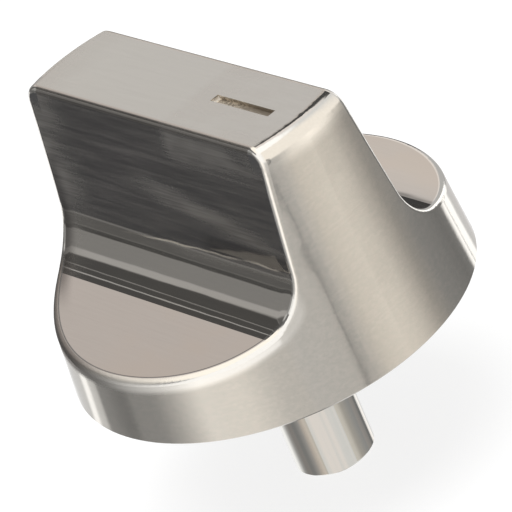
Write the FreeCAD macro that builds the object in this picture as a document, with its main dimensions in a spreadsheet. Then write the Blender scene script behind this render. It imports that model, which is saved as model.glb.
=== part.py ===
import FreeCAD, Part
import Sketcher
import math
import os

# Oven control knob: a satin metal body with a full-width grip, a polished stem
# pressed into its underside, and a leaf spring that grips the flat of the shaft.
# Millimetres. Z runs up the shaft axis from the open end of the stem, the grip
# lies along X and its pointer slot is near the +X end.

os.makedirs("parts", exist_ok=True)
doc = FreeCAD.newDocument("oven_control_knob")
V = FreeCAD.Vector

# Driving dimensions
SIZES = [
    ("stem_drop", 23.0, "open end of the stem to the skirt's bottom edge"),
    ("skirt_radius", 27.5, "outside radius at the skirt's bottom edge"),
    ("top_radius", 25.3, "outside radius at the level of the grip's top"),
    ("wall_bow", 0.3, "how far the wall's middle lies inside a straight line from foot to top"),
    ("body_height", 35.2, "skirt's bottom edge to the grip's flat top"),
    ("end_round", 2.4, "rounding where the grip's narrow ends meet its top"),
    ("edge_round", 0.85, "rounding round each scoop's outline"),
    ("foot_bevel", 0.3, "bevel of the skirt's bottom edge"),
    ("grip_half", 6.85, "half the grip's thickness at its top"),
    ("grip_lean", 8.0, "lean of the grip's sides from upright, in degrees"),
    ("scoop_round", 8.5, "hollow between the grip's side and the shelf"),
    ("shelf_level", 11.6, "skirt's bottom edge to the shelf's inner line"),
    ("shelf_slope", 19.5, "slope of the shelf at its inner line, in degrees"),
    ("shelf_round", 43.0, "radius of the shelf's slow hollow"),
    ("scoop_over", 2.0, "how far the scoop's cutter runs past the body"),
    ("slot_start", 7.6, "shaft axis to the pointer slot's inner end"),
    ("slot_length", 11.4, "length of the pointer slot"),
    ("slot_width", 1.3, "width of the pointer slot"),
    ("slot_depth", 0.6, "depth of the pointer slot"),
    ("skirt_wall", 2.2, "thickness of the skirt at its bottom edge"),
    ("hollow_height", 6.8, "depth of the ring hollow under the shelves"),
    ("hollow_draft", 1.2, "how much the ring hollow narrows towards its roof"),
    ("boss_radius", 8.2, "outside radius of the boss round the stem"),
    ("boss_lift", 1.0, "skirt's bottom edge up to the boss's face"),
    ("pocket_start", 9.5, "shaft axis to a grip pocket's inner end"),
    ("pocket_end", 20.5, "shaft axis to a grip pocket's outer end"),
    ("pocket_half", 4.6, "half the width of a grip pocket at its roof"),
    ("pocket_foot", 7.6, "half the width of a grip pocket where it opens"),
    ("pocket_height", 29.5, "skirt's bottom edge to a grip pocket's roof"),
    ("rib_width", 1.8, "thickness of a rib in the ring hollow"),
    ("rib_lift", 2.0, "skirt's bottom edge up to the ribs' lower edges"),
    ("stem_radius", 5.45, "outside radius of the stem"),
    ("spigot_radius", 4.6, "outside radius of the stem's spigot inside the boss"),
    ("spigot_flat", 4.2, "stem's axis to the flat on its spigot"),
    ("spigot_length", 13.0, "length of the spigot above the stem's shoulder"),
    ("spigot_gap", 0.5, "clearance between the spigot's tip and the socket's roof"),
    ("shoulder_bevel", 0.3, "bevel round the shoulder that seats on the boss"),
    ("stem_flat", 5.06, "stem's axis to the flat on its outside"),
    ("flat_angle", -29.0, "direction the flat faces, from +X, in degrees"),
    ("stem_end_bevel", 0.45, "bevel of the stem's open end"),
    ("bore_radius", 3.05, "radius of the bore for the shaft"),
    ("bore_flat", 1.6, "stem's axis to the flat side of the bore"),
    ("bore_depth", 18.0, "depth of the bore from the stem's open end"),
    ("mouth_bevel", 0.3, "bevel of the bore's mouth"),
    ("leaf_width", 3.2, "width of the leaf spring"),
    ("leaf_thick", 0.4, "thickness of the leaf spring"),
    ("leaf_side_gap", 0.1, "clearance at each side of the leaf spring"),
    ("leaf_rise", 0.35, "how far the leaf's middle stands off its groove"),
    ("leaf_foot", 3.0, "length of the leaf's lower seated part"),
    ("leaf_ramp", 2.5, "length of each slope of the leaf"),
    ("leaf_crown", 3.0, "length of the leaf's raised part"),
    ("leaf_head", 2.0, "length of the leaf's upper seated part"),
    ("leaf_head_gap", 0.6, "clearance above the leaf's free end"),
    ("groove_depth", 0.6, "flat side of the bore to the floor of the leaf's groove"),
    ("lip_reach", 1.6, "reach of the leaf's bent lip beyond its groove"),
    ("lip_gap", 0.1, "clearance at the lip's outer end"),
    ("lip_lift", 0.3, "how far the lip lies inside the stem's end"),
]
size = {alias: value for alias, value, meaning in SIZES}
sheet = doc.addObject("Spreadsheet::Sheet", "Params")
for row, (alias, value, meaning) in enumerate(SIZES, 1):
    sheet.set("A%d" % row, alias)
    sheet.set("B%d" % row, str(value))
    sheet.set("C%d" % row, meaning)
    sheet.setAlias("B%d" % row, alias)
doc.recompute()


def named(text):
    """Writes an expression in which every word of the sheet is looked up in it."""
    out = []
    word = ""
    for letter in text + " ":
        if letter.isalnum() or letter == "_":
            word += letter
            continue
        out.append("Params." + word if word in size else word)
        out.append(letter)
        word = ""
    return "".join(out).strip()


def bound(thing, prop, text):
    """Drives a property from the sheet."""
    thing.setExpression(prop, named(text))


def new_body(name):
    body = doc.addObject("PartDesign::Body", name)
    body.Label = name
    return body


def plane(body, role):
    """One of the body's own origin planes."""
    return [f for f in body.Origin.OriginFeatures if f.Role == role][0]


def new_sketch(body, name, role, level=None, turn=None):
    """A sketch on one of the body's planes, raised and turned by the sheet."""
    sketch = body.newObject("Sketcher::SketchObject", name)
    sketch.AttachmentSupport = [(plane(body, role), "")]
    sketch.MapMode = "FlatFace"
    if level:
        bound(sketch, ".AttachmentOffset.Base.z", level)
    if turn:
        sketch.AttachmentOffset = FreeCAD.Placement(V(0, 0, 0), FreeCAD.Rotation(V(0, 0, 1), 1))
        bound(sketch, ".AttachmentOffset.Rotation.Angle", turn)
        if level:
            bound(sketch, ".AttachmentOffset.Base.z", level)
    return sketch


def pin_point(sketch, geo, end, across, upward):
    """Fixes a point of a sketch at two expressions measured from its origin."""
    spot = sketch.getPoint(geo, end)
    for kind, now, text in (("DistanceX", spot.x, across), ("DistanceY", spot.y, upward)):
        at = sketch.addConstraint(Sketcher.Constraint(kind, -1, 1, geo, end, now))
        bound(sketch, "Constraints[%d]" % at, text)


def outline(sketch, corners):
    """A closed chain of lines through corners, each given as two expressions."""
    count = len(corners)
    ring = [math.tau * i / count for i in range(count)]
    spots = [V(10 * math.cos(a), 10 * math.sin(a), 0) for a in ring]
    for i in range(count):
        sketch.addGeometry(Part.LineSegment(spots[i], spots[(i + 1) % count]))
    for i in range(count):
        sketch.addConstraint(Sketcher.Constraint("Coincident", i, 2, (i + 1) % count, 1))
    for i, (across, upward) in enumerate(corners):
        pin_point(sketch, i, 1, across, upward)


def finished(feature):
    """Stops the build at a feature that came out wrong."""
    doc.recompute()
    if "Invalid" in feature.State or "Error" in feature.State or feature.Shape.isNull():
        raise RuntimeError(feature.Name + " failed: " + str(feature.State))
    return feature


def cut(body, name, sketch, depth=None, upward=False, both=False):
    """A pocket that must take material away."""
    before = body.Shape.Volume
    pocket = body.newObject("PartDesign::Pocket", name)
    pocket.Profile = sketch
    pocket.Reversed = upward
    if both:
        pocket.SideType = "Symmetric"
    if depth:
        bound(pocket, "Length", depth)
    finished(pocket)
    if body.Shape.Volume >= before:
        raise RuntimeError(name + " cut nothing")
    return pocket


def edges_where(shape, test):
    """Names of the edges whose middle point passes a test."""
    names = []
    for i, edge in enumerate(shape.Edges, 1):
        middle = edge.valueAt(0.5 * (edge.FirstParameter + edge.LastParameter))
        if test(edge, middle):
            names.append("Edge%d" % i)
    return names


def rounded(body, name, base, test, radius):
    """A fillet on the edges that pass a test."""
    names = edges_where(base.Shape, test)
    if not names:
        raise RuntimeError(name + " found no edge")
    fillet = body.newObject("PartDesign::Fillet", name)
    fillet.Base = (base, names)
    bound(fillet, "Radius", radius)
    return finished(fillet)


def d_shape(sketch, radius, flat):
    """A round with a flat facing the sketch's +X side, centred on its origin."""
    reach = math.acos(size[flat] / size[radius])
    rim = Part.Circle(V(0, 0, 0), V(0, 0, 1), size[radius])
    sketch.addGeometry(Part.ArcOfCircle(rim, reach, math.tau - reach))
    half = size[radius] * math.sin(reach)
    sketch.addGeometry(Part.LineSegment(V(size[flat], -half, 0), V(size[flat], half, 0)))
    sketch.addConstraint(Sketcher.Constraint("Coincident", 0, 3, -1, 1))
    sketch.addConstraint(Sketcher.Constraint("Coincident", 0, 2, 1, 1))
    sketch.addConstraint(Sketcher.Constraint("Coincident", 1, 2, 0, 1))
    sketch.addConstraint(Sketcher.Constraint("Vertical", 1))
    at = sketch.addConstraint(Sketcher.Constraint("Radius", 0, size[radius]))
    bound(sketch, "Constraints[%d]" % at, radius)
    at = sketch.addConstraint(Sketcher.Constraint("DistanceX", -1, 1, 1, 1, size[flat]))
    bound(sketch, "Constraints[%d]" % at, flat)


# The knob's body: outside form turned about the shaft axis
knob = new_body("knob_body")
form = new_sketch(knob, "form_profile", "XZ_Plane")
low = size["stem_drop"]
high = low + size["body_height"]
foot_start = V(size["skirt_radius"] - size["foot_bevel"], low, 0)
wall_foot = V(size["skirt_radius"], low + size["foot_bevel"], 0)
middle_radius = (size["skirt_radius"] + size["top_radius"]) / 2 - size["wall_bow"]
wall_middle = V(middle_radius, (low + high) / 2, 0)
wall_head = V(size["top_radius"], high, 0)
form.addGeometry(Part.LineSegment(V(0, low, 0), foot_start))
form.addGeometry(Part.LineSegment(foot_start, wall_foot))
form.addGeometry(Part.Arc(wall_foot, wall_middle, wall_head))
form.addGeometry(Part.LineSegment(wall_head, V(0, high, 0)))
form.addGeometry(Part.LineSegment(V(0, high, 0), V(0, low, 0)))
form.addGeometry(Part.Point(wall_middle), True)
foot_end, head_end = (1, 2) if form.getPoint(2, 1).y < form.getPoint(2, 2).y else (2, 1)
form.addConstraint(Sketcher.Constraint("Coincident", 0, 2, 1, 1))
form.addConstraint(Sketcher.Constraint("Coincident", 1, 2, 2, foot_end))
form.addConstraint(Sketcher.Constraint("Coincident", 2, head_end, 3, 1))
form.addConstraint(Sketcher.Constraint("Coincident", 3, 2, 4, 1))
form.addConstraint(Sketcher.Constraint("Coincident", 4, 2, 0, 1))
form.addConstraint(Sketcher.Constraint("PointOnObject", 0, 1, -2))
form.addConstraint(Sketcher.Constraint("PointOnObject", 3, 2, -2))
form.addConstraint(Sketcher.Constraint("Horizontal", 0))
form.addConstraint(Sketcher.Constraint("Horizontal", 3))
form.addConstraint(Sketcher.Constraint("PointOnObject", 5, 1, 2))
pin_point(form, 0, 2, "skirt_radius - foot_bevel", "stem_drop")
pin_point(form, 1, 2, "skirt_radius", "stem_drop + foot_bevel")
pin_point(form, 3, 1, "top_radius", "stem_drop + body_height")
pin_point(form, 5, 1, "(skirt_radius + top_radius) / 2 - wall_bow", "stem_drop + body_height / 2")
turned = knob.newObject("PartDesign::Revolution", "turned_form")
turned.Profile = form
turned.ReferenceAxis = (form, ["V_Axis"])
turned.Angle = 360
finished(turned)

# Two mirrored scoops leave the grip and the sloping half-moon shelves
scoop = new_sketch(knob, "scoop_profile", "YZ_Plane")
lean = math.radians(size["grip_lean"])
slope = math.radians(size["shelf_slope"])
bend, sweep = size["scoop_round"], size["shelf_round"]
line_z = low + size["shelf_level"]
bend_z = line_z + bend * math.cos(slope)
bend_y = size["grip_half"] + (bend - (bend_z - high) * math.sin(lean)) / math.cos(lean)
line_y = bend_y - bend * math.sin(slope)
sweep_y = line_y + sweep * math.sin(slope)
sweep_z = line_z + sweep * math.cos(slope)
over_y = size["skirt_radius"] + size["scoop_over"]
over_z = high + size["scoop_over"]
side_y = bend_y - bend * math.cos(lean)
side_z = bend_z - bend * math.sin(lean)
start_y = size["grip_half"] - size["scoop_over"] * math.tan(lean)
end_z = sweep_z - math.sqrt(sweep ** 2 - (over_y - sweep_y) ** 2)
shelf_end = math.atan2(end_z - sweep_z, over_y - sweep_y)
scoop.addGeometry(Part.LineSegment(V(start_y, over_z, 0), V(over_y, over_z, 0)))
scoop.addGeometry(Part.LineSegment(V(over_y, over_z, 0), V(over_y, end_z, 0)))
shelf_circle = Part.Circle(V(sweep_y, sweep_z, 0), V(0, 0, 1), sweep)
scoop.addGeometry(Part.ArcOfCircle(shelf_circle, -math.pi / 2 - slope, shelf_end))
bend_circle = Part.Circle(V(bend_y, bend_z, 0), V(0, 0, 1), bend)
scoop.addGeometry(Part.ArcOfCircle(bend_circle, -math.pi + lean, -math.pi / 2 - slope))
scoop.addGeometry(Part.LineSegment(V(side_y, side_z, 0), V(start_y, over_z, 0)))
side_foot = V(size["grip_half"] + size["body_height"] * math.tan(lean), low, 0)
scoop.addGeometry(Part.Point(side_foot), True)
scoop.addConstraint(Sketcher.Constraint("Coincident", 0, 2, 1, 1))
scoop.addConstraint(Sketcher.Constraint("Coincident", 1, 2, 2, 2))
scoop.addConstraint(Sketcher.Constraint("Tangent", 2, 1, 3, 2))
scoop.addConstraint(Sketcher.Constraint("Tangent", 3, 1, 4, 1))
scoop.addConstraint(Sketcher.Constraint("Coincident", 4, 2, 0, 1))
scoop.addConstraint(Sketcher.Constraint("Vertical", 1))
scoop.addConstraint(Sketcher.Constraint("PointOnObject", 5, 1, 4))
pin_point(scoop, 0, 1, "grip_half - scoop_over * tan(grip_lean)", "stem_drop + body_height + scoop_over")
pin_point(scoop, 0, 2, "skirt_radius + scoop_over", "stem_drop + body_height + scoop_over")
pin_point(scoop, 5, 1, "grip_half + body_height * tan(grip_lean)", "stem_drop")
for geo, name in ((2, "shelf_round"), (3, "scoop_round")):
    at = scoop.addConstraint(Sketcher.Constraint("Radius", geo, size[name]))
    bound(scoop, "Constraints[%d]" % at, name)
at = scoop.addConstraint(Sketcher.Constraint("DistanceY", -1, 1, 2, 1, line_z))
bound(scoop, "Constraints[%d]" % at, "stem_drop + shelf_level")
at = scoop.addConstraint(Sketcher.Constraint("DistanceX", 2, 1, 2, 3, sweep * math.sin(slope)))
bound(scoop, "Constraints[%d]" % at, "shelf_round * sin(shelf_slope)")
near_scoop = cut(knob, "scoop_cut", scoop, "2 * (skirt_radius + scoop_over)", both=True)
far_scoop = knob.newObject("PartDesign::Mirrored", "scoop_cut_mirrored")
far_scoop.Originals = [near_scoop]
far_scoop.MirrorPlane = (plane(knob, "XZ_Plane"), [""])
one_scoop = near_scoop.Shape.Volume
knob.Tip = far_scoop
finished(far_scoop)
if far_scoop.Shape.Volume >= one_scoop:
    raise RuntimeError("the second scoop cut nothing")


def at_grip_end(edge, middle):
    return abs(middle.z - high) < 1e-4 and abs(middle.x) > size["top_radius"] / 2


def at_rim(edge, middle):
    outside = abs(middle.y) > line_y
    above_foot = middle.z > low + size["foot_bevel"] + 1e-4
    return outside and above_foot and middle.z < line_z and abs(middle.x) < size["skirt_radius"] / 4


ends = rounded(knob, "end_fillet", far_scoop, at_grip_end, "end_round")
rounded(knob, "scoop_fillet", ends, at_rim, "edge_round")

# Hollow underside with the boss, grip pockets and ribs
hollow = new_sketch(knob, "hollow_profile", "XZ_Plane")
inner_foot = "skirt_radius - skirt_wall"
outline(hollow, [
    ("0", "stem_drop - scoop_over"),
    (inner_foot, "stem_drop - scoop_over"),
    (inner_foot, "stem_drop"),
    (inner_foot + " - hollow_draft", "stem_drop + hollow_height"),
    ("boss_radius", "stem_drop + hollow_height"),
    ("boss_radius", "stem_drop + boss_lift"),
    ("0", "stem_drop + boss_lift"),
])
before = knob.Shape.Volume
ring = knob.newObject("PartDesign::Groove", "ring_hollow")
ring.Profile = hollow
ring.ReferenceAxis = (hollow, ["V_Axis"])
ring.Angle = 360
finished(ring)
if ring.Shape.Volume >= before:
    raise RuntimeError("the ring hollow cut nothing")
for side, level in (("front", "pocket_start"), ("back", "-pocket_end")):
    core = new_sketch(knob, side + "_pocket_outline", "YZ_Plane", level)
    outline(core, [
        ("-pocket_foot", "stem_drop + rib_lift"),
        ("pocket_foot", "stem_drop + rib_lift"),
        ("pocket_foot", "stem_drop + hollow_height"),
        ("pocket_half", "stem_drop + pocket_height"),
        ("-pocket_half", "stem_drop + pocket_height"),
        ("-pocket_foot", "stem_drop + hollow_height"),
    ])
    cut(knob, side + "_pocket", core, "pocket_end - pocket_start", upward=True)
for side, turn in (("first", "45"), ("second", "-45")):
    bar = new_sketch(knob, side + "_rib_outline", "XY_Plane", "stem_drop + rib_lift", turn)
    outline(bar, [
        ("-(skirt_radius - skirt_wall / 2)", "-rib_width / 2"),
        ("skirt_radius - skirt_wall / 2", "-rib_width / 2"),
        ("skirt_radius - skirt_wall / 2", "rib_width / 2"),
        ("-(skirt_radius - skirt_wall / 2)", "rib_width / 2"),
    ])
    before = knob.Shape.Volume
    rib = knob.newObject("PartDesign::Pad", side + "_ribs")
    rib.Profile = bar
    bound(rib, "Length", "hollow_height - rib_lift")
    finished(rib)
    if rib.Shape.Volume <= before:
        raise RuntimeError(side + " ribs added nothing")

# Socket for the stem, then the pointer slot in the grip's top
socket = new_sketch(knob, "socket_outline", "XY_Plane", "stem_drop", "flat_angle")
d_shape(socket, "spigot_radius", "spigot_flat")
cut(knob, "stem_socket", socket, "boss_lift + spigot_length + spigot_gap", upward=True)
mark = new_sketch(knob, "pointer_outline", "XY_Plane", "stem_drop + body_height")
outline(mark, [
    ("slot_start", "-slot_width / 2"),
    ("slot_start + slot_length", "-slot_width / 2"),
    ("slot_start + slot_length", "slot_width / 2"),
    ("slot_start", "slot_width / 2"),
])
cut(knob, "pointer_slot", mark, "slot_depth")

# The stem: a turned bar with a milled flat, a spigot for the boss and a keyed bore
stem = new_body("stem")
stem.Placement = FreeCAD.Placement(V(0, 0, 0), FreeCAD.Rotation(V(0, 0, 1), size["flat_angle"]))
bound(stem, ".Placement.Rotation.Angle", "flat_angle")
bar = new_sketch(stem, "stem_profile", "XZ_Plane")
outline(bar, [
    ("0", "0"),
    ("stem_radius - stem_end_bevel", "0"),
    ("stem_radius", "stem_end_bevel"),
    ("stem_radius", "stem_drop + boss_lift - shoulder_bevel"),
    ("stem_radius - shoulder_bevel", "stem_drop + boss_lift"),
    ("0", "stem_drop + boss_lift"),
])
rod = stem.newObject("PartDesign::Revolution", "stem_bar")
rod.Profile = bar
rod.ReferenceAxis = (bar, ["V_Axis"])
rod.Angle = 360
finished(rod)
milled = new_sketch(stem, "flat_outline", "XY_Plane")
outline(milled, [
    ("stem_flat", "-stem_radius"),
    ("stem_radius + scoop_over", "-stem_radius"),
    ("stem_radius + scoop_over", "stem_radius"),
    ("stem_flat", "stem_radius"),
])
cut(stem, "stem_flat_cut", milled, "stem_drop + boss_lift", upward=True)
plug = new_sketch(stem, "spigot_outline", "XY_Plane", "stem_drop + boss_lift")
d_shape(plug, "spigot_radius", "spigot_flat")
before = stem.Shape.Volume
spigot = stem.newObject("PartDesign::Pad", "spigot")
spigot.Profile = plug
bound(spigot, "Length", "spigot_length")
finished(spigot)
if stem.Shape.Volume <= before:
    raise RuntimeError("the spigot added nothing")
hole = new_sketch(stem, "bore_outline", "XY_Plane")
d_shape(hole, "bore_radius", "bore_flat")
bore = cut(stem, "bore", hole, "bore_depth", upward=True)


def at_mouth(edge, middle):
    return abs(middle.z) < 1e-4 and math.hypot(middle.x, middle.y) < size["bore_radius"] + 1e-3


mouth = stem.newObject("PartDesign::Chamfer", "mouth_chamfer")
mouth.Base = (bore, edges_where(bore.Shape, at_mouth))
bound(mouth, "Size", "mouth_bevel")
finished(mouth)
leaf_height = "leaf_foot + 2 * leaf_ramp + leaf_crown + leaf_head"
seat = new_sketch(stem, "leaf_seat_outline", "XY_Plane")
outline(seat, [
    ("0", "-(leaf_width / 2 + leaf_side_gap)"),
    ("bore_flat + groove_depth", "-(leaf_width / 2 + leaf_side_gap)"),
    ("bore_flat + groove_depth", "leaf_width / 2 + leaf_side_gap"),
    ("0", "leaf_width / 2 + leaf_side_gap"),
])
cut(stem, "leaf_seat", seat, "lip_lift + " + leaf_height + " + leaf_head_gap", upward=True)
step = new_sketch(stem, "lip_seat_outline", "XY_Plane")
outline(step, [
    ("bore_flat", "-(leaf_width / 2 + leaf_side_gap)"),
    ("bore_flat + groove_depth + lip_reach + lip_gap", "-(leaf_width / 2 + leaf_side_gap)"),
    ("bore_flat + groove_depth + lip_reach + lip_gap", "leaf_width / 2 + leaf_side_gap"),
    ("bore_flat", "leaf_width / 2 + leaf_side_gap"),
])
cut(stem, "lip_seat", step, "lip_lift + leaf_thick", upward=True)

# The leaf spring, seen from the side: bent lip, seated foot, crown, seated head
leaf = new_body("shaft_spring")
leaf.Placement = FreeCAD.Placement(V(0, 0, 0), FreeCAD.Rotation(V(0, 0, 1), size["flat_angle"]))
bound(leaf, ".Placement.Rotation.Angle", "flat_angle")
back = "bore_flat + groove_depth"
front = back + " - leaf_thick"
level_1 = "lip_lift + leaf_foot"
level_2 = level_1 + " + leaf_ramp"
level_3 = level_2 + " + leaf_crown"
level_4 = level_3 + " + leaf_ramp"
level_5 = level_4 + " + leaf_head"
side_view = new_sketch(leaf, "leaf_profile", "XZ_Plane")
outline(side_view, [
    (front, "lip_lift"),
    (back + " + lip_reach", "lip_lift"),
    (back + " + lip_reach", "lip_lift + leaf_thick"),
    (back, "lip_lift + leaf_thick"),
    (back, level_1),
    (back + " - leaf_rise", level_2),
    (back + " - leaf_rise", level_3),
    (back, level_4),
    (back, level_5),
    (front, level_5),
    (front, level_4),
    (front + " - leaf_rise", level_3),
    (front + " - leaf_rise", level_2),
    (front, level_1),
])
strip = leaf.newObject("PartDesign::Pad", "leaf_strip")
strip.Profile = side_view
strip.SideType = "Symmetric"
bound(strip, "Length", "leaf_width")
finished(strip)

# Every piece is checked and written out
doc.recompute()
for thing in doc.Objects:
    if "Invalid" in thing.State or "Error" in thing.State:
        raise RuntimeError(thing.Name + " is not right: " + str(thing.State))
for body in (knob, stem, leaf):
    shape = body.Shape
    if shape.isNull() or not shape.isValid() or len(shape.Solids) != 1:
        raise RuntimeError(body.Label + " is not one good solid")
    shape.exportStep("parts/" + body.Label + ".step")
    box = shape.BoundBox
    print(body.Label, "volume %.1f mm3" % shape.Volume, "z %.2f to %.2f" % (box.ZMin, box.ZMax))
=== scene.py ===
# %% [markdown]
# An oven control knob: a satin metal body with a grip between two scooped
# shelves, and a polished stem under it. The solids come from the part's own
# source. This file gives them their finish, light and camera, one step at a time.

# %% Load the knob's solids
import math
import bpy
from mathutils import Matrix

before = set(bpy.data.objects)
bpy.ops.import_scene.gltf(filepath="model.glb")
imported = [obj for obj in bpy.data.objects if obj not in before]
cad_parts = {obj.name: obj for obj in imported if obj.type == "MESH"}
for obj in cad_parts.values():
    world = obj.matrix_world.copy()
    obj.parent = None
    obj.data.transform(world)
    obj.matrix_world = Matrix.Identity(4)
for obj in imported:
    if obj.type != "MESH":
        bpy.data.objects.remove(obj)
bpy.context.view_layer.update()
from types import SimpleNamespace

import bpy
from mathutils import Matrix, Vector

print("solids:", sorted(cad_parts))


# %% [markdown]
# A finish is a web of shader nodes. Linked by hand it is quick to draw but hard
# to read in a script, so a small class wraps a socket: a + b or 1 - mask then
# adds the Math node, and one method adds any other node.

# %% A wire that can be used in sums
class Wire:
    """A socket in a node tree that can be used in sums and products."""

    def __init__(self, tree, socket):
        self.tree = tree
        self.socket = socket

    def join(self, operation, first, second=None):
        inputs = [first] if second is None else [first, second]
        return self.node("ShaderNodeMath", {"operation": operation}, inputs)

    def __add__(self, other):
        return self.join("ADD", self, other)

    def __sub__(self, other):
        return self.join("SUBTRACT", self, other)

    def __rsub__(self, other):
        return self.join("SUBTRACT", other, self)

    def __mul__(self, other):
        return self.join("MULTIPLY", self, other)

    def __truediv__(self, other):
        return self.join("DIVIDE", self, other)

    __radd__ = __add__
    __rmul__ = __mul__

    def magnitude(self):
        return self.join("ABSOLUTE", self)

    def rise(self, start, end):
        """0 below start and 1 above end, with a soft step between them."""
        return self.node("ShaderNodeMapRange", {"interpolation_type": "SMOOTHSTEP"},
                         {"Value": self, "From Min": start, "From Max": end})

    def fall(self, start, end):
        """1 below start and 0 above end."""
        return 1.0 - self.rise(start, end)

    def between(self, rise, fall):
        """1 after one soft step and before another, each given by its two ends."""
        return self.rise(*rise) * self.fall(*fall)

    def blend(self, low, high):
        """A colour between two colours, by this value."""
        low, high = (end if isinstance(end, Wire) else grey(end) for end in (low, high))
        return self.node("ShaderNodeMix", {"data_type": "RGBA"}, {0: self, 6: low, 7: high}, 2)

    def node(self, kind, settings=None, inputs=None, output=0):
        """Adds a node, sets it, feeds its sockets and returns one of its outputs."""
        made = self.tree.nodes.new(kind)
        for name, value in (settings or {}).items():
            if name == "stops":
                fill_ramp(made.color_ramp, value)
            else:
                setattr(made, name, value)
        fed = inputs or {}
        if not isinstance(fed, dict):
            fed = dict(enumerate(fed))
        for name, value in fed.items():
            if isinstance(value, Wire):
                self.tree.links.new(value.socket, made.inputs[name])
            else:
                made.inputs[name].default_value = value
        return Wire(self.tree, made.outputs[output])


print("a wire can:", ", ".join(name for name in vars(Wire) if not name.startswith("__")))


# %% Colours, ramps and trees
def grey(value):
    """A colour with alpha from a number or from three."""
    if isinstance(value, (int, float)):
        return (value, value, value, 1.0)
    return (*value, 1.0)


def fill_ramp(ramp, stops):
    while len(ramp.elements) < len(stops):
        ramp.elements.new(0.5)
    for element, (place, colour) in zip(ramp.elements, stops):
        element.position = place
        element.color = grey(colour)


def new_tree(owner, output):
    """Clears an owner's nodes and returns a way in and its output node."""
    owner.use_nodes = True
    tree = owner.node_tree
    tree.nodes.clear()
    return Wire(tree, None), tree.nodes.new(output)


def parts_of(start, vector):
    """The x, y and z of a vector."""
    split = start.node("ShaderNodeSeparateXYZ", {}, [vector])
    return [Wire(start.tree, split.socket.node.outputs[i]) for i in range(3)]


print("half grey as a colour:", grey(0.5))


# %% [markdown]
# Every finish on this knob depends on where a point lies: the outside wall was
# brushed round the axis, the scoops and the top along the grip, and the hidden
# hollows are left as cast. The body is one mesh, so its faces could be picked
# one by one, but Object coordinates and the body's own sizes tell them apart
# softly and hold for any mesh. Sizes are in millimetres and heights are counted
# from the stem's end. Two numbers are the ends of a soft step from 0 to 1, or
# from 1 to 0, and two pairs are the steps where a band begins and where it ends.

# %% The body's sizes
MM = 0.001
FOOT_Z = 23.0
TOP_Z = 58.2
FOOT_RADIUS = 27.5
TOP_RADIUS = 25.3
WALL_BOW = 0.3


def wall_radius(level):
    """The wall's radius, from level 0 at its foot to 1 at the top, bowed out halfway."""
    bow = 4.0 * WALL_BOW
    return FOOT_RADIUS - level * (FOOT_RADIUS - TOP_RADIUS + bow) + level * level * bow


print("wall radius at foot, middle and top:", [round(wall_radius(level), 2) for level in (0.0, 0.5, 1.0)])

# %% The scoops' outline
# An arc's centre is given by its distance from the grip's middle and its height.
HOLLOW_ARC = (17.62, 42.61, 8.5)
SHELF_ARC = (29.14, 75.13, 43.0)
HOLLOW_TO_SHELF = (14.0, 15.6)


def length(first, second):
    return first.join("SQRT", first * first + second * second)


def past_arc(side, z, centre_side, centre_z, radius):
    """How far a point lies outside an arc, here on the metal's side of it."""
    return length(side - centre_side, z - centre_z) - radius


def below_scoop(side, z):
    """How deep a point lies under the scoop's hollow or its shelf."""
    share = side.rise(*HOLLOW_TO_SHELF)
    return past_arc(side, z, *HOLLOW_ARC) * (1.0 - share) + past_arc(side, z, *SHELF_ARC) * share


print("hollow and shelf bend with", HOLLOW_ARC[2], "and", SHELF_ARC[2], "mm")

# %% Where a point lies
WALL_SKIN = (0.06, 0.14)
TOP_FACE = (58.14, 58.19)
NEAR_SHELF = (-14.0, -12.0)
FLANK_WAY = (0.49, 0.87)
FLANK_START = (0.80, 0.92)


def body_places(start):
    """A point's place in millimetres and masks that part the body's faces."""
    spot = start.node("ShaderNodeTexCoord", output="Object")
    x, y, z = (part / MM for part in parts_of(start, spot))
    out = length(x, y)
    inset = wall_radius((z - FOOT_Z) / (TOP_Z - FOOT_Z)) - out
    flanks = ((x * FLANK_WAY[0] + y * FLANK_WAY[1]) / out).magnitude().rise(*FLANK_START)
    return SimpleNamespace(
        spot=spot, x=x, y=y, z=z, inset=inset, flanks=flanks, below=below_scoop(y.magnitude(), z),
        wall=inset.fall(*WALL_SKIN), top=z.rise(*TOP_FACE), near_shelf=y.fall(*NEAR_SHELF))


print("the wall's finish reaches", WALL_SKIN[1], "mm in from its outline")


# %% [markdown]
# A brush leaves fine lines along its way, and a cast and plated part keeps soft
# waves and clouds under them. An image of scratches would repeat and would need
# a file. Noise that is squeezed across the brush and drawn out along it gives
# lines of any fineness. Each scale below is in waves per metre.

# %% Marks of the tools
ROUND_LINES = (90.0, 90.0, 3600.0)
LONG_LINES = (110.0, 3200.0, 3200.0)
RIPPLE = (160.0, 420.0, 420.0)
BUNDLES = (60.0, 1100.0, 1100.0)
CLOUDS = (70.0, 160.0, 160.0)
MOTTLE = (1300.0, 1300.0, 1900.0)
CAST_GRAIN = 2500.0
LINE_ROUGHNESS = 0.65


def scratches(start, spot, stretch, detail=3.0):
    """Lines from 0 to 1: noise squeezed across the brush and drawn out along it."""
    along = start.node("ShaderNodeMapping", {}, {"Vector": spot, "Scale": stretch})
    return start.node("ShaderNodeTexNoise", {}, {
        "Vector": along, "Scale": 1.0, "Detail": detail, "Roughness": LINE_ROUGHNESS})


def tool_marks(start, spot):
    """All the marks that the body's finishes share."""
    return SimpleNamespace(
        round_lines=scratches(start, spot, ROUND_LINES),
        long_lines=scratches(start, spot, LONG_LINES),
        ripple=scratches(start, spot, RIPPLE, detail=1.0),
        bundles=scratches(start, spot, BUNDLES, detail=2.0),
        clouds=scratches(start, spot, CLOUDS, detail=2.0),
        mottle=scratches(start, spot, MOTTLE, detail=4.0),
        grain=start.node("ShaderNodeTexNoise", {}, {"Vector": spot, "Scale": CAST_GRAIN, "Detail": 2.0}))


print("round brush lines are about", round(1.0 / ROUND_LINES[2] / MM, 2), "mm apart")

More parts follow.
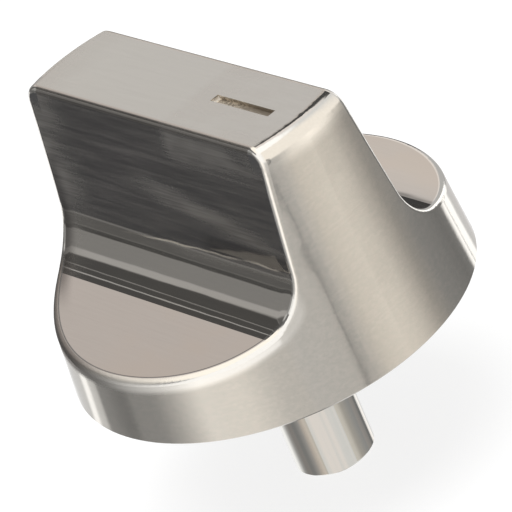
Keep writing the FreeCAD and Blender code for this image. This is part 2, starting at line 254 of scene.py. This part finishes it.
# %% Metal and bumps
MICRON = 0.000001
NICKEL = (0.68, 0.645, 0.595)


def bump(start, height, strength, depth, under=None):
    """Bends the normal by a height, on top of another bump if one is given."""
    fed = {"Strength": strength, "Distance": depth, "Height": height}
    if under is not None:
        fed["Normal"] = under
    return start.node("ShaderNodeBump", {}, fed)


def streaked(lines, colour, tones):
    """A colour with darker and lighter lines in it."""
    dark, light = ([part * tone for part in colour] for tone in tones)
    return lines.blend(dark, light)


def metal(start, colour, roughness, normal=None, **more):
    """A metal surface, whose colour tints what it mirrors."""
    fed = {"Base Color": colour, "Metallic": 1.0, "Roughness": roughness, **more}
    if normal is not None:
        fed["Normal"] = normal
    return start.node("ShaderNodeBsdfPrincipled", {}, fed)


print("satin nickel:", NICKEL)


# %% [markdown]
# The outside wall is satin: brushed round the axis, so each light on it is drawn
# out upwards. Deep bump lines alone would sparkle at this size. An anisotropic
# metal draws the lights out by itself, and shallow bumps of a few thousandths of
# a millimetre add the lines, the mottle and the casting's slow waves. Towards
# its two flanks the wall's lights look sharper, so it is a little smoother there.

# %% The brushed wall
WALL_TONES = (0.95, 1.07)
MOTTLE_METAL = (0.655, 0.632, 0.582)
MOTTLE_STEP = (0.38, 0.62)
WALL_ROUGHNESS = 0.15
MOTTLE_ROUGHNESS = 0.08
FLANK_POLISH = 0.12
BRUSHED_ROUND = {"Anisotropic": 0.95, "Anisotropic Rotation": 0.25}


def brushed_wall(start, at, marks):
    """Where the wall lies, and its finish."""
    waves = bump(start, marks.ripple, strength=1.0, depth=8 * MICRON)
    mottled = bump(start, marks.mottle, strength=0.4, depth=3 * MICRON, under=waves)
    normal = bump(start, marks.round_lines, strength=0.6, depth=4 * MICRON, under=mottled)
    lined = streaked(marks.round_lines, NICKEL, WALL_TONES)
    colour = marks.mottle.rise(*MOTTLE_STEP).blend(MOTTLE_METAL, lined)
    roughness = WALL_ROUGHNESS + marks.mottle * MOTTLE_ROUGHNESS - at.flanks * FLANK_POLISH
    return at.wall, metal(start, colour, roughness, normal, **BRUSHED_ROUND)


print("wall roughness from", WALL_ROUGHNESS, "to", round(WALL_ROUGHNESS + MOTTLE_ROUGHNESS, 2))


# %% [markdown]
# Across the near scoop's side runs a fine wavy bright line, a painted highlight
# where the edge of the mirrored shelf lies. It could be cut as a groove, but there
# is no step in the metal, so it is drawn as a curve of height over the grip's
# length. Beside it a strip of painted shade is darker above, and a strip below is duller.

# %% The line in the near scoop
HIGHLIGHT_LINE_HEIGHT = 40.66
HIGHLIGHT_LINE_SLOPE = 0.052
HIGHLIGHT_LINE_SAG = 0.00107
HIGHLIGHT_LINE_WAVER = 0.9
NEAR_SIDE = ((-11.0, -10.6), (-8.0, -7.0))
STRIP_ABOVE = ((-0.1, 0.2), (1.6, 2.6))
STRIP_ABOVE_START = (5.0, 9.0)
STRIP_BELOW = ((-1.4, -1.2), (-0.1, 0.1))
STRIP_BELOW_START = (-2.0, 4.0)


def highlight_line_height(x):
    """The line's height over a place along the grip."""
    return HIGHLIGHT_LINE_HEIGHT + x * HIGHLIGHT_LINE_SLOPE - x * x * HIGHLIGHT_LINE_SAG


def highlight_line_places(at, marks):
    """How far a point lies above the line, and the strips beside it."""
    above = at.z - highlight_line_height(at.x) + (marks.ripple - 0.5) * HIGHLIGHT_LINE_WAVER
    near_side = at.y.between(*NEAR_SIDE)
    return SimpleNamespace(
        above=above, near_side=near_side,
        # The strip above the line gets painted shade in scoop_tint.
        dark_strip=above.between(*STRIP_ABOVE) * near_side * at.x.rise(*STRIP_ABOVE_START),
        dull_strip=above.between(*STRIP_BELOW) * near_side * at.x.rise(*STRIP_BELOW_START))


print("the line's height at x -10, 0 and 20:", [round(highlight_line_height(x), 2) for x in (-10.0, 0.0, 20.0)])

# %% The painted highlight on the line
LINE_WIDTH = (0.04, 0.22)
LINE_START = (-12.0, -7.0)
LINE_END = (2.0, 3.5)
LINE_GAPS = (0.3, 0.6)
LINE_SHARE = 0.7
# Painted highlight: the line's colours are brighter than the nickel.
LINE_HIGHLIGHT_METAL = ((0.86, 0.80, 0.70), (0.96, 0.91, 0.82))
LINE_HIGHLIGHT_ROUGHNESS = 0.6


def painted_highlight_line(start, at, marks, highlight_line):
    """Where the painted highlight line lies, broken into pieces by the brush-line noise, and its bright
    metal.
    """
    line = highlight_line.above.magnitude().fall(*LINE_WIDTH) * highlight_line.near_side
    line = line * at.x.rise(*LINE_START) * at.inset.rise(*LINE_END)
    share = line * marks.bundles.rise(*LINE_GAPS) * LINE_SHARE
    # The line's bright metal is a painted highlight.
    return share, metal(start, marks.long_lines.blend(*LINE_HIGHLIGHT_METAL), LINE_HIGHLIGHT_ROUGHNESS)


print("the line is about", 2 * LINE_WIDTH[1], "mm wide")


# %% [markdown]
# The scoops and the top were drawn along the grip and then polished, so they
# mirror the studio with faint lines in it. One rough metal would blur the
# mirrored shapes. Two metals are mixed instead: a mirror, and a matt one that
# lies over it as a thin haze. The scoops' edges roll into the wall by a bump.

# %% The grip's long edges
EDGE_HEIGHT = (57.2, 57.6)
FAR_EDGE = (6.1, 6.3)
NEAR_EDGE = (-6.3, -6.1)


def edge_places(at):
    """The roundings between the top and the far and near scoop."""
    rounding = at.z.rise(*EDGE_HEIGHT) * (1.0 - at.top)
    return SimpleNamespace(far=rounding * at.y.rise(*FAR_EDGE), near=rounding * at.y.fall(*NEAR_EDGE))


print("the top's roundings start at z", EDGE_HEIGHT[0])

# %% Tint of the scoops and the top
SCOOP_TONES = (0.94, 1.04)
SHELF_CLOUD = (0.685, 0.635, 0.572)
CLOUD_STEP = (0.35, 0.65)
CLOUD_START = (-9.0, 5.0)
CLOUD_TOP = (34.0, 38.0)
# Painted shade colour.
SHADED_METAL = (0.30, 0.28, 0.26)
END_WIDTH = (0.9, 3.2)
END_START = (-14.0, -12.0)
END_HEIGHT = ((33.0, 34.5), (45.0, 50.0))
STRIP_SHADE = 0.6
EDGE_SHADE = 0.7


def scoop_tint(at, marks, highlight_line, edges):
    """Nickel with fine lines, warm clouds on the shelves, and painted shade at the scoop's far end, above
    the highlight line and on the top's near edge.
    """
    lined = streaked(marks.long_lines, NICKEL, SCOOP_TONES)
    cloudy = marks.clouds.rise(*CLOUD_STEP) * at.x.rise(*CLOUD_START) * at.z.fall(*CLOUD_TOP)
    clouded = cloudy.blend(lined, SHELF_CLOUD)
    # Painted shade: the scoop's far end, the strip above the highlight line and the top's near edge are
    # blended towards a dark metal.
    far_end_shade = at.inset.fall(*END_WIDTH) * at.x.fall(*END_START) * at.z.between(*END_HEIGHT)
    shaded = far_end_shade + highlight_line.dark_strip * STRIP_SHADE + edges.near * EDGE_SHADE
    return shaded.blend(clouded, SHADED_METAL)


print("the shelves' clouds end at z", CLOUD_TOP[1])

# %% Haze in the scoops
STREAK_HEIGHT = 47.8
STREAK_SLOPE = 0.16
STREAK_WIDTH = (0.3, 2.4)
STREAK_START = (-8.0, 2.0)
CORNER_START = (3.0, 5.5)
CORNER_HEIGHT = (52.0, 55.0)
DULL_END = (-24.0, -15.0)
DULL_END_SHARE = 1.2
HAZE_GAPS = (0.2, 0.7)
HAZE = 0.38


def clouded_haze(at, marks):
    """A slanting streak, the top corner and the far end, broken into clouds."""
    above_streak = at.z - STREAK_HEIGHT + at.x * STREAK_SLOPE
    streak = above_streak.magnitude().fall(*STREAK_WIDTH) * at.x.rise(*STREAK_START)
    corner = at.x.rise(*CORNER_START) * at.z.rise(*CORNER_HEIGHT)
    places = streak + corner + at.x.fall(*DULL_END) * DULL_END_SHARE
    return places * (marks.clouds.rise(*HAZE_GAPS) * HAZE)


print("the matt metal shows up to", round(HAZE * DULL_END_SHARE, 2), "in the clouds")

# %% Brush lines in the haze
BUNDLE_STEP = (0.35, 0.65)
BUNDLE_HAZE = 0.13
FINE_STEP = (0.4, 0.65)
FINE_HAZE = 0.10
ABOVE_SHELF = (34.0, 44.0)
STRIP_HAZE = 0.22


def scoop_haze(at, marks, highlight_line):
    """How much of the matt metal shows."""
    lines = marks.bundles.rise(*BUNDLE_STEP) * BUNDLE_HAZE + marks.long_lines.rise(*FINE_STEP) * FINE_HAZE
    on_side = at.z.rise(*ABOVE_SHELF) * (1.0 - at.top)
    return clouded_haze(at, marks) + lines * on_side + highlight_line.dull_strip * STRIP_HAZE


print("and up to", round(BUNDLE_HAZE + FINE_HAZE, 2), "in the lines on the scoops' sides")

# %% The drawn scoops
ROLL_OFF = (21.5, 24.6)
ROLL_SHIFT = 4.0
ROLL_HEIGHT = (46.0, 56.0)
MIRROR_ROUGHNESS = 0.02
LINES_IN_MIRROR = 0.04
TOP_ROUGHNESS = 0.12
FAR_EDGE_ROUGHNESS = 0.4
NEAR_EDGE_ROUGHNESS = 0.1
MATT_ROUGHNESS = 0.34
LINES_IN_MATT = 0.1


def drawn_scoop(start, at, marks, highlight_line):
    """The finish of the scoops and the top, under all the others."""
    along = at.x.magnitude() - at.z.rise(*ROLL_HEIGHT) * ROLL_SHIFT
    rolled = bump(start, along.fall(*ROLL_OFF), strength=1.0, depth=100 * MICRON)
    waves = bump(start, marks.ripple, strength=1.0, depth=12 * MICRON, under=rolled)
    normal = bump(start, marks.long_lines, strength=0.3, depth=2 * MICRON, under=waves)
    edges = edge_places(at)
    tint = scoop_tint(at, marks, highlight_line, edges)
    polish = marks.long_lines * LINES_IN_MIRROR + MIRROR_ROUGHNESS + at.top * TOP_ROUGHNESS \
        + edges.far * FAR_EDGE_ROUGHNESS + edges.near * NEAR_EDGE_ROUGHNESS
    mirror = metal(start, tint, polish, normal)
    matt = metal(start, tint, marks.long_lines * LINES_IN_MATT + MATT_ROUGHNESS, normal)
    return start.node("ShaderNodeMixShader", {}, [scoop_haze(at, marks, highlight_line), mirror, matt])


print("the scoops roll off from x", ROLL_OFF[0], "to", ROLL_OFF[1])


# %% [markdown]
# The rounded rims show as bright lines: their metal is given a colour brighter
# than the nickel, a painted highlight, and the grip's rounded narrow ends get it too.
# The near shelf's rim rolls over softly into the wall. The solids have the small
# roundings. The wide soft roll is only a bump, so that the outline stays as built.
# A thin dark line of painted shade lies inside the near shelf's rim.

# %% Where the rims lie
RIM_WIDTH = (0.70, 0.86)
RIM_HEIGHT = ((25.0, 26.0), (55.0, 56.0))
CROWN_START = (54.2, 56.9)
CROWN_WIDTH = (2.3, 2.6)
LIP_DEPTH = ((-0.5, 0.1), (1.1, 2.1))
LIP_SIDE = (-10.5, -9.0)
LIP_TOP = (40.0, 48.0)
LIP_SKIN = (0.1, 0.2)


def rim_places(start, at):
    """The rims, the grip's rounded ends and the near shelf's lip."""
    rim = at.inset.between(WALL_SKIN, RIM_WIDTH) * at.z.between(*RIM_HEIGHT)
    crown = at.z.rise(*CROWN_START) * at.inset.fall(*CROWN_WIDTH) * (1.0 - at.top)
    lip = at.below.between(*LIP_DEPTH) * at.y.fall(*LIP_SIDE) * at.z.fall(*LIP_TOP)
    lip = lip * at.inset.fall(*LIP_SKIN)
    return start.join("MAXIMUM", rim, start.join("MAXIMUM", crown, lip))


# The rims' bright colour within these widths is a painted highlight.
print("the rims are buffed", RIM_WIDTH[1], "mm wide, the shelf's lip", LIP_DEPTH[1][1], "mm")

# %% The rims' painted highlight
ROLL_OVER = (-0.3, 2.1)
ROLL_OVER_TOP = (40.0, 43.0)
ROLL_OVER_DEPTH = 500 * MICRON
# Painted highlight colours of the rims, and painted shade on the near rim's left part.
RIM_HIGHLIGHT_METAL = ((0.90, 0.87, 0.81), (0.97, 0.94, 0.89))
SHADED_RIM = (0.34, 0.315, 0.29)
SHADED_PART = (-9.0, 6.0)


def rim_colour(at, marks):
    """Painted highlight: metal brighter than the nickel, with painted shade on the left part of the near
    shelf's rim.
    """
    bright = marks.long_lines.blend(*RIM_HIGHLIGHT_METAL)
    return (at.x.fall(*SHADED_PART) * at.near_shelf).blend(bright, SHADED_RIM)


def rolled_over(start, at):
    """The near lip's soft roll into the wall."""
    share = at.z.fall(*ROLL_OVER_TOP) * at.near_shelf
    return bump(start, at.below.rise(*ROLL_OVER), share, ROLL_OVER_DEPTH)


print("the lip rolls over by", ROLL_OVER_DEPTH / MM, "mm in its bump")

# %% How dull the rims are
RIM_ROUGHNESS = 0.06
RIM_CLOUDS = 0.06
DULL_PART = (5.0, 18.0)
DULL_PART_ROUGHNESS = 0.28
DULL_CROWN_X = (-21.0, -18.0)
DULL_CROWN_Y = (-5.5, -4.0)
DULL_CROWN_Z = (50.0, 54.0)
DULL_CROWN_ROUGHNESS = 0.4


def highlighted_rim(start, at, marks):
    """Where the rims lie, and their finish with its painted highlight."""
    dull_part = at.x.fall(*DULL_PART) * at.near_shelf
    dull_crown = at.x.fall(*DULL_CROWN_X) * at.z.rise(*DULL_CROWN_Z) * at.y.rise(*DULL_CROWN_Y)
    roughness = RIM_ROUGHNESS + marks.clouds * RIM_CLOUDS \
        + dull_part * DULL_PART_ROUGHNESS + dull_crown * DULL_CROWN_ROUGHNESS
    return rim_places(start, at), metal(start, rim_colour(at, marks), roughness, rolled_over(start, at))


print("rim roughness from", RIM_ROUGHNESS, "where it is buffed most")

# %% The dark line of painted shade inside the near shelf's rim
SHADE_LINE_INSET = ((0.80, 0.86), (0.94, 1.04))
SHADE_LINE_HEIGHT = ((30.0, 31.0), (36.0, 38.0))
# Colours of the dark line of painted shade.
SHADE_LINE_TONES = ((0.05, 0.05, 0.05), (0.12, 0.115, 0.11))
SHADE_LINE_ROUGHNESS = 0.5
SHADE_LINE_SHARE = 0.85


def painted_shade_line(start, at, marks):
    """Where the thin dark line of painted shade lies beside the rim, and its look."""
    # A dark, non-metal colour painted as shade along the line.
    shade_line = at.inset.between(*SHADE_LINE_INSET) * at.z.between(*SHADE_LINE_HEIGHT) * at.near_shelf
    return shade_line * SHADE_LINE_SHARE, start.node("ShaderNodeBsdfPrincipled", {}, {
        "Base Color": marks.long_lines.blend(*SHADE_LINE_TONES), "Roughness": SHADE_LINE_ROUGHNESS})


print("the dark line lies", SHADE_LINE_INSET[0][1], "mm in from the wall")


# %% [markdown]
# Underneath, nobody brushed the casting: the ring hollow and the grip's pockets
# keep the mould's dull grain. The pointer slot on top was never polished out
# either, and has browned, with bright specks at its inner end. Both share one
# fine noise, as colour and as a bump.

# %% The cast hollows
RING_TOP = (29.95, 30.0)
RING_EDGE = (1.0, 1.4)
POCKET_SIDE = (11.6, 11.7)
POCKET_DRAFT = 0.13
POCKET_TOP = (52.7, 52.8)
POCKET_END = (20.7, 20.8)
CAST_METAL = ((0.30, 0.285, 0.26), (0.52, 0.50, 0.47))
CAST_ROUGHNESS = 0.5


def grain_bump(start, marks):
    return bump(start, marks.grain, strength=0.8, depth=60 * MICRON)


def cast_hollow(start, at, marks):
    """Where the ring hollow and the pockets lie, and their finish."""
    ring = at.z.fall(*RING_TOP) * at.inset.rise(*RING_EDGE)
    pocket = (at.y.magnitude() + at.z * POCKET_DRAFT).fall(*POCKET_SIDE)
    pocket = pocket * at.z.fall(*POCKET_TOP) * at.x.magnitude().fall(*POCKET_END)
    finish = metal(start, marks.grain.blend(*CAST_METAL), CAST_ROUGHNESS, grain_bump(start, marks))
    return start.join("MAXIMUM", ring, pocket), finish


print("left as cast up to z", RING_TOP[1], "and in the pockets up to", POCKET_TOP[1])

# %% The pointer slot
SLOT_DEPTH = ((57.3, 57.4), (58.0, 58.1))
SLOT_HALF_WIDTH = (0.66, 0.70)
SLOT_LENGTH = ((7.5, 7.55), (19.0, 19.05))
BARE_END = (7.6, 7.9)
BARE_METAL = (0.98, 0.96, 0.93)
BROWNED_METAL = ((0.37, 0.32, 0.26), (0.94, 0.85, 0.71))
SPECK_STEP = (0.40, 0.62)
SPECKS_FADE = (7.6, 17.0)
SLOT_ROUGHNESS = 0.4
SLOT_METALLIC = 0.8


def browned_slot(start, at, marks):
    """Where the slot's floor and walls lie, and their finish."""
    slot = at.z.between(*SLOT_DEPTH) * at.y.magnitude().fall(*SLOT_HALF_WIDTH)
    slot = slot * at.x.between(*SLOT_LENGTH)
    specks = marks.grain.rise(*SPECK_STEP) * at.x.fall(*SPECKS_FADE)
    colour = at.x.fall(*BARE_END).blend(specks.blend(*BROWNED_METAL), BARE_METAL)
    return slot, metal(start, colour, SLOT_ROUGHNESS, grain_bump(start, marks), Metallic=SLOT_METALLIC)


print("the slot is browned from x", SLOT_LENGTH[0][0], "to", SLOT_LENGTH[1][1])


# %% [markdown]
# The body's material lays these finishes over each other like masks over paint.
# Separate materials on separate faces would end on the triangles' edges. One
# material with soft masks lets a finish fade where the real polish does.

# %% The body's material
def satin_body():
    material = bpy.data.materials.new("satin_body")
    start, end = new_tree(material, "ShaderNodeOutputMaterial")
    at = body_places(start)
    marks = tool_marks(start, at.spot)
    highlight_line = highlight_line_places(at, marks)
    shader = drawn_scoop(start, at, marks, highlight_line)
    for share, finish in (
            brushed_wall(start, at, marks),
            highlighted_rim(start, at, marks),
            painted_shade_line(start, at, marks),
            painted_highlight_line(start, at, marks, highlight_line),
            cast_hollow(start, at, marks),
            browned_slot(start, at, marks)):
        shader = start.node("ShaderNodeMixShader", {}, [share, shader, finish])
    start.tree.links.new(shader.socket, end.inputs[0])
    return material


body_metal = satin_body()
print(body_metal.name, "has", len(body_metal.node_tree.nodes), "nodes")


# %% [markdown]
# The stem is a turned and polished bar, plated so that it mirrors. Turning
# leaves fine rings, and drawing the bar left soft bands along it, which show as
# pale stripes on its flat. The spring is rolled strip, darker and duller, with
# lines along its length. A noise for each way is enough, with no mask.

# %% The stem's material
STEM_RINGS = (60.0, 60.0, 2500.0)
STEM_BANDS = (420.0, 420.0, 12.0)
PLATED_METAL = ((0.64, 0.63, 0.59), (0.68, 0.67, 0.63))
BAND_METAL = (0.76, 0.71, 0.65)
BAND_STEP = (0.44, 0.56)
STEM_ROUGHNESS = 0.05
RING_ROUGHNESS = 0.05


def polished_stem():
    material = bpy.data.materials.new("polished_stem")
    start, end = new_tree(material, "ShaderNodeOutputMaterial")
    spot = start.node("ShaderNodeTexCoord", output="Object")
    rings = scratches(start, spot, STEM_RINGS)
    bands = scratches(start, spot, STEM_BANDS, detail=2.0)
    turned = bump(start, rings, strength=0.3, depth=1 * MICRON)
    normal = bump(start, bands, strength=1.0, depth=15 * MICRON, under=turned)
    colour = bands.rise(*BAND_STEP).blend(rings.blend(*PLATED_METAL), BAND_METAL)
    shader = metal(start, colour, rings * RING_ROUGHNESS + STEM_ROUGHNESS, normal)
    start.tree.links.new(shader.socket, end.inputs[0])
    return material


stem_metal = polished_stem()
print(stem_metal.name, "has", len(stem_metal.node_tree.nodes), "nodes")

# %% The spring's material
STRIP_LINES = (3000.0, 3000.0, 120.0)
STRIP_METAL = ((0.34, 0.34, 0.35), (0.50, 0.50, 0.50))
STRIP_ROUGHNESS = 0.28
STRIP_LINE_ROUGHNESS = 0.12


def spring_strip():
    material = bpy.data.materials.new("spring_strip")
    start, end = new_tree(material, "ShaderNodeOutputMaterial")
    spot = start.node("ShaderNodeTexCoord", output="Object")
    lines = scratches(start, spot, STRIP_LINES)
    normal = bump(start, lines, strength=0.4, depth=2 * MICRON)
    roughness = lines * STRIP_LINE_ROUGHNESS + STRIP_ROUGHNESS
    shader = metal(start, lines.blend(*STRIP_METAL), roughness, normal)
    start.tree.links.new(shader.socket, end.inputs[0])
    return material


strip_metal = spring_strip()
print(strip_metal.name, "has", len(strip_metal.node_tree.nodes), "nodes")

# %% Give each solid its finish
for name, material in (("knob_body", body_metal), ("stem", stem_metal), ("shaft_spring", strip_metal)):
    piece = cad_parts[name]
    piece.data.materials.clear()
    piece.data.materials.append(material)
    print(name, "gets", material.name)


# %% [markdown]
# The knob stands on the end of its stem on a pale floor. The camera sees the
# floor as white paper that keeps the knob's soft shadow. Shiny metal shows its
# surroundings, so it mirrors the studio round it and not the floor. A glow on
# the floor for camera rays alone gives the white, and adds no light to the knob.

# %% Floor
FLOOR_SIZE = 4.0
FLOOR_GAP = 0.00005
FLOOR_TONE = 0.75
SHADOW_TONE = 0.3
FLOOR_GLOW = 0.80
WHITE = 1.0

bpy.ops.mesh.primitive_plane_add(size=FLOOR_SIZE, location=(0.0, 0.0, -FLOOR_GAP))
floor = bpy.context.object
floor.name = "floor"
floor.visible_glossy = False
paper = bpy.data.materials.new("pale_floor")
start, end = new_tree(paper, "ShaderNodeOutputMaterial")
seen = start.node("ShaderNodeLightPath", output="Is Camera Ray")
shadowed = start.node("ShaderNodeBsdfDiffuse", {}, {"Color": grey(SHADOW_TONE)})
glow = start.node("ShaderNodeEmission", {}, {"Color": grey(WHITE), "Strength": FLOOR_GLOW})
lit = start.node("ShaderNodeAddShader", {}, [shadowed, glow])
plain = start.node("ShaderNodeBsdfDiffuse", {}, {"Color": grey(FLOOR_TONE)})
mixed = start.node("ShaderNodeMixShader", {}, [seen, plain, lit])
start.tree.links.new(mixed.socket, end.inputs[0])
floor.data.materials.append(paper)
print("the floor lies", FLOOR_GAP / MM, "mm under the stem's end")

# %% [markdown]
# Polished metal has little colour of its own: it is drawn by what it mirrors. In
# a photographer's studio that is a white tent with cards and flags, and objects
# for them would be easy to set up. Painting them on the world, by compass turn
# and height, keeps their edges exact and casts no shadows. The camera sees plain
# white. Turn is measured from +X, from -270 to 90 degrees, so that the joint
# lies in one even grey. Tones are written as grey levels or as colours.

# %% Directions in the studio
world = bpy.data.worlds.new("studio")
bpy.context.scene.world = world
sky, sky_end = new_tree(world, "ShaderNodeOutputWorld")
dx, dy, dz = parts_of(sky, sky.node("ShaderNodeTexCoord", output="Generated"))
DEGREES = math.degrees(1.0)
turn = sky.join("ARCTAN2", dx, dy * -1.0) * DEGREES - 90.0
height = sky.join("ARCSINE", dz) * DEGREES
print("one radian is", round(DEGREES, 2), "degrees of turn or height")


# %% Helpers for the tent
FULL_TURN = 360.0
JOINT = -270.0
CREAM_LOSS = (0.0, 0.05, 0.12)


def round_tent(stops):
    """A tone for each turn, from a list of turns and tones."""
    ramp = [((place - JOINT) / FULL_TURN, tone) for place, tone in stops]
    return sky.node("ShaderNodeValToRGB", {"stops": ramp}, [(turn - JOINT) / FULL_TURN])


def warm(value, share=1.0):
    """A grey turned towards cream."""
    return tuple(value * (1.0 - loss * share) for loss in CREAM_LOSS)


def panel(left, right, low, high, soft):
    """A soft-edged patch of the tent."""
    across = turn.between((left - soft, left + soft), (right - soft, right + soft))
    return across * height.between((low - soft, low + soft), (high - soft, high + soft))


print("a warm white:", [round(part, 2) for part in warm(1.0)])

# %% [markdown]
# The tent has three belts. The upright stem mirrors what lies level with the
# camera's own slant downwards, the leaning wall mirrors a little higher, and the
# top and the shelves mirror the upper belt. So each belt is tuned for one piece.

# %% The tent's belts
PINK = (0.665, 0.62, 0.605)
STEM_TO_WALL = (-29.2, -28.2)
WALL_TO_TOP = (2.0, 16.0)
TOP_TO_ROOF = (62.0, 70.0)
ROOF = 1.1

stem_belt = round_tent([
    (-268, 0.22), (-259, 0.25), (-255, 1.2), (-242, 1.2), (-236, 0.9), (-214, 0.9), (-211, 0.2),
    (-206, 0.2), (-203, 1.0), (-172, 1.2), (-150, 0.45), (-138, 0.27), (-112, 0.27), (-100, 0.36),
    (-88, warm(0.56)), (-73, warm(0.78)), (-70, warm(0.98)), (-30.5, warm(0.98)), (-29.5, 0.90),
    (12, 0.90), (14, warm(0.85)), (22, warm(0.80)), (36, warm(0.50)), (60, 0.38), (86, 0.30)])
wall_belt = round_tent([
    (-268, 0.22), (-259, 0.25), (-255, 1.5), (-243, 1.4), (-240, 0.7), (-205, PINK), (-196, 0.72),
    (-175, 0.72), (-172, 1.3), (-167, 1.3), (-165, 0.76), (-159, 0.72), (-155, 0.32), (-138, 0.32),
    (-112, 0.36), (-100, warm(0.62, 0.4)), (-84, warm(1.14, 0.5)), (-60, warm(0.99, 0.6)),
    (-42, warm(0.66, 0.3)), (-30, warm(0.62, 0.3)), (-1, warm(0.58, 0.5)), (1, warm(0.48, 0.5)),
    (5, warm(0.52, 0.6)), (14, warm(0.85)), (28, warm(1.08)), (40, warm(0.90)), (54, warm(0.45)),
    (66, 0.30), (86, 0.24)])
top_belt = round_tent([
    (-268, 0.7), (-225, (0.79, 0.74, 0.71)), (-215, (0.77, 0.72, 0.69)), (-212, (0.71, 0.71, 0.72)),
    (-207.5, (0.75, 0.75, 0.74)), (-203, PINK), (-180, PINK), (-150, 0.42), (-138, 0.30), (-120, 0.8),
    (-95, 1.05), (-40, 1.02), (0, warm(0.93)), (50, warm(0.93)), (86, 0.7)])
tent = height.rise(*STEM_TO_WALL).blend(stem_belt, wall_belt)
tent = height.rise(*WALL_TO_TOP).blend(tent, top_belt)
tent = height.rise(*TOP_TO_ROOF).blend(tent, ROOF)
print("three belts, and a white roof over them from", TOP_TO_ROOF[1], "degrees")

# %% [markdown]
# Cards and flags are hung in front of the belts. Each line gives the left and
# right turn, the low and high edge, the softness, all in degrees, and the tone.
# Its name says where the knob mirrors it. A later card covers an earlier one.

# %% Cards and flags
CARDS = {
    "near rim, right of its middle": (-203, -100, 46, 72, 3.0, (1.1, 1.05, 0.97)),
    "upper side of the near scoop": (-160, -129, -22.5, -13, 1.5, (0.070, 0.071, 0.076)),
    "lower side of the near scoop": (-160, -129, -12, 0, 1.5, 0.13),
    "shadow over the hollow": (-160, -129, 0, 5, 0.8, 0.08),
    "left part of the near scoop": (-179, -160, -10, 29, 2.0, 0.12),
    "grey band in the hollow": (-160, -129, 5, 24, 1.0, 0.28),
    "light band in the hollow": (-160, -129, 23.5, 29, 1.0, 0.48),
    "black foot of the hollow": (-179, -151, 29, 43.5, 0.8, 0.09),
    "first light line in the black foot": (-171.0, -169.6, 30, 43, 0.3, 0.5),
    "second light line in the black foot": (-163.4, -162.6, 30, 43, 0.3, 0.35),
    "far rim and wall": (-243, -226, -18, 28, 2.0, 0.45),
    "foot of the far hollow": (-226, -203, -16, 6, 1.5, 0.06),
    "edge of the top's pointer end": (-262, -213, 39, 53, 1.0, 0.06),
    "left end of the near rim": (-203, -179, -14, 18, 4.0, 0.25),
    "near rim, along the hollow": (-151, -105, 29.5, 44, 1.5, 0.15),
    "light line down the far wall": (-252.4, -251.4, -34, 20, 0.3, 0.5),
    "dark line down the end wall": (-0.9, 0.9, -34, 20, 0.3, 0.15),
}
for left, right, low, high, soft, tone in CARDS.values():
    tent = panel(left, right, low, high, soft).blend(tent, tone)
print(len(CARDS), "cards and flags hang in the tent")

# %% Who sees the studio
EVEN_LIGHT = 0.5

seen = sky.node("ShaderNodeLightPath", output="Is Camera Ray")
glossy = sky.node("ShaderNodeLightPath", output="Is Glossy Ray")
shown = sky.node("ShaderNodeBackground", {}, {"Color": grey(WHITE), "Strength": 1.0})
mirrored = sky.node("ShaderNodeBackground", {}, {"Color": tent, "Strength": 1.0})
even = sky.node("ShaderNodeBackground", {}, {"Color": grey(WHITE), "Strength": EVEN_LIGHT})
light = sky.node("ShaderNodeMixShader", {}, [glossy, even, mirrored])
light = sky.node("ShaderNodeMixShader", {}, [seen, light, shown])
sky.tree.links.new(light.socket, sky_end.inputs[0])
print("the world has", len(sky.tree.nodes), "nodes")

# %% [markdown]
# The tent gives an even light without a shadow. One large soft lamp high over
# the knob puts the faint shadow on the floor, where a sun would draw a hard one.
# The metal doesn't mirror the lamp, only the lights that are painted on the tent.

# %% Soft lamp for the floor's shadow
LAMP_PLACE = (0.1, -0.1, 0.8)
LAMP_SIZE = 0.7
LAMP_POWER = 5.0

lamp = bpy.data.lights.new("soft_lamp", "AREA")
lamp.shape = "SQUARE"
lamp.size = LAMP_SIZE
lamp.energy = LAMP_POWER
lamp_body = bpy.data.objects.new("soft_lamp", lamp)
bpy.context.scene.collection.objects.link(lamp_body)
lamp_body.location = LAMP_PLACE
lamp_body.visible_glossy = False
print("lamp of", LAMP_POWER, "W at", LAMP_PLACE)

# %% [markdown]
# The camera stands where the photograph was taken from: above the grip's pointer
# end and to one side, tilted, with a long lens. It could be aimed by a Track To
# constraint, but the roll and the shift were measured too, so its matrix is
# written out from the three angles.

# %% Camera
TURN = math.radians(60.68)
RISE = math.radians(29.0)
ROLL = math.radians(-23.61)
AIM = Vector((0.0, 0.0, 0.0344))
DISTANCE = 0.6486
LENS = 359.0
SHIFT = (0.0244, -0.0310)

back = Vector((math.sin(TURN) * math.cos(RISE), -math.cos(TURN) * math.cos(RISE), math.sin(RISE)))
right = Vector((math.cos(TURN), math.sin(TURN), 0.0))
up = back.cross(right)
across = math.cos(ROLL) * right + math.sin(ROLL) * up
above = -math.sin(ROLL) * right + math.cos(ROLL) * up
place = AIM + back * DISTANCE
lens = bpy.data.cameras.new("camera")
lens.lens = LENS
lens.shift_x, lens.shift_y = SHIFT
camera = bpy.data.objects.new("camera", lens)
bpy.context.scene.collection.objects.link(camera)
camera.matrix_world = Matrix((
    (across.x, above.x, back.x, place.x),
    (across.y, above.y, back.y, place.y),
    (across.z, above.z, back.z, place.z),
    (0.0, 0.0, 0.0, 1.0)))
bpy.context.scene.camera = camera
bpy.context.scene.view_settings.view_transform = "Standard"
print("camera at", [round(part, 3) for part in place])
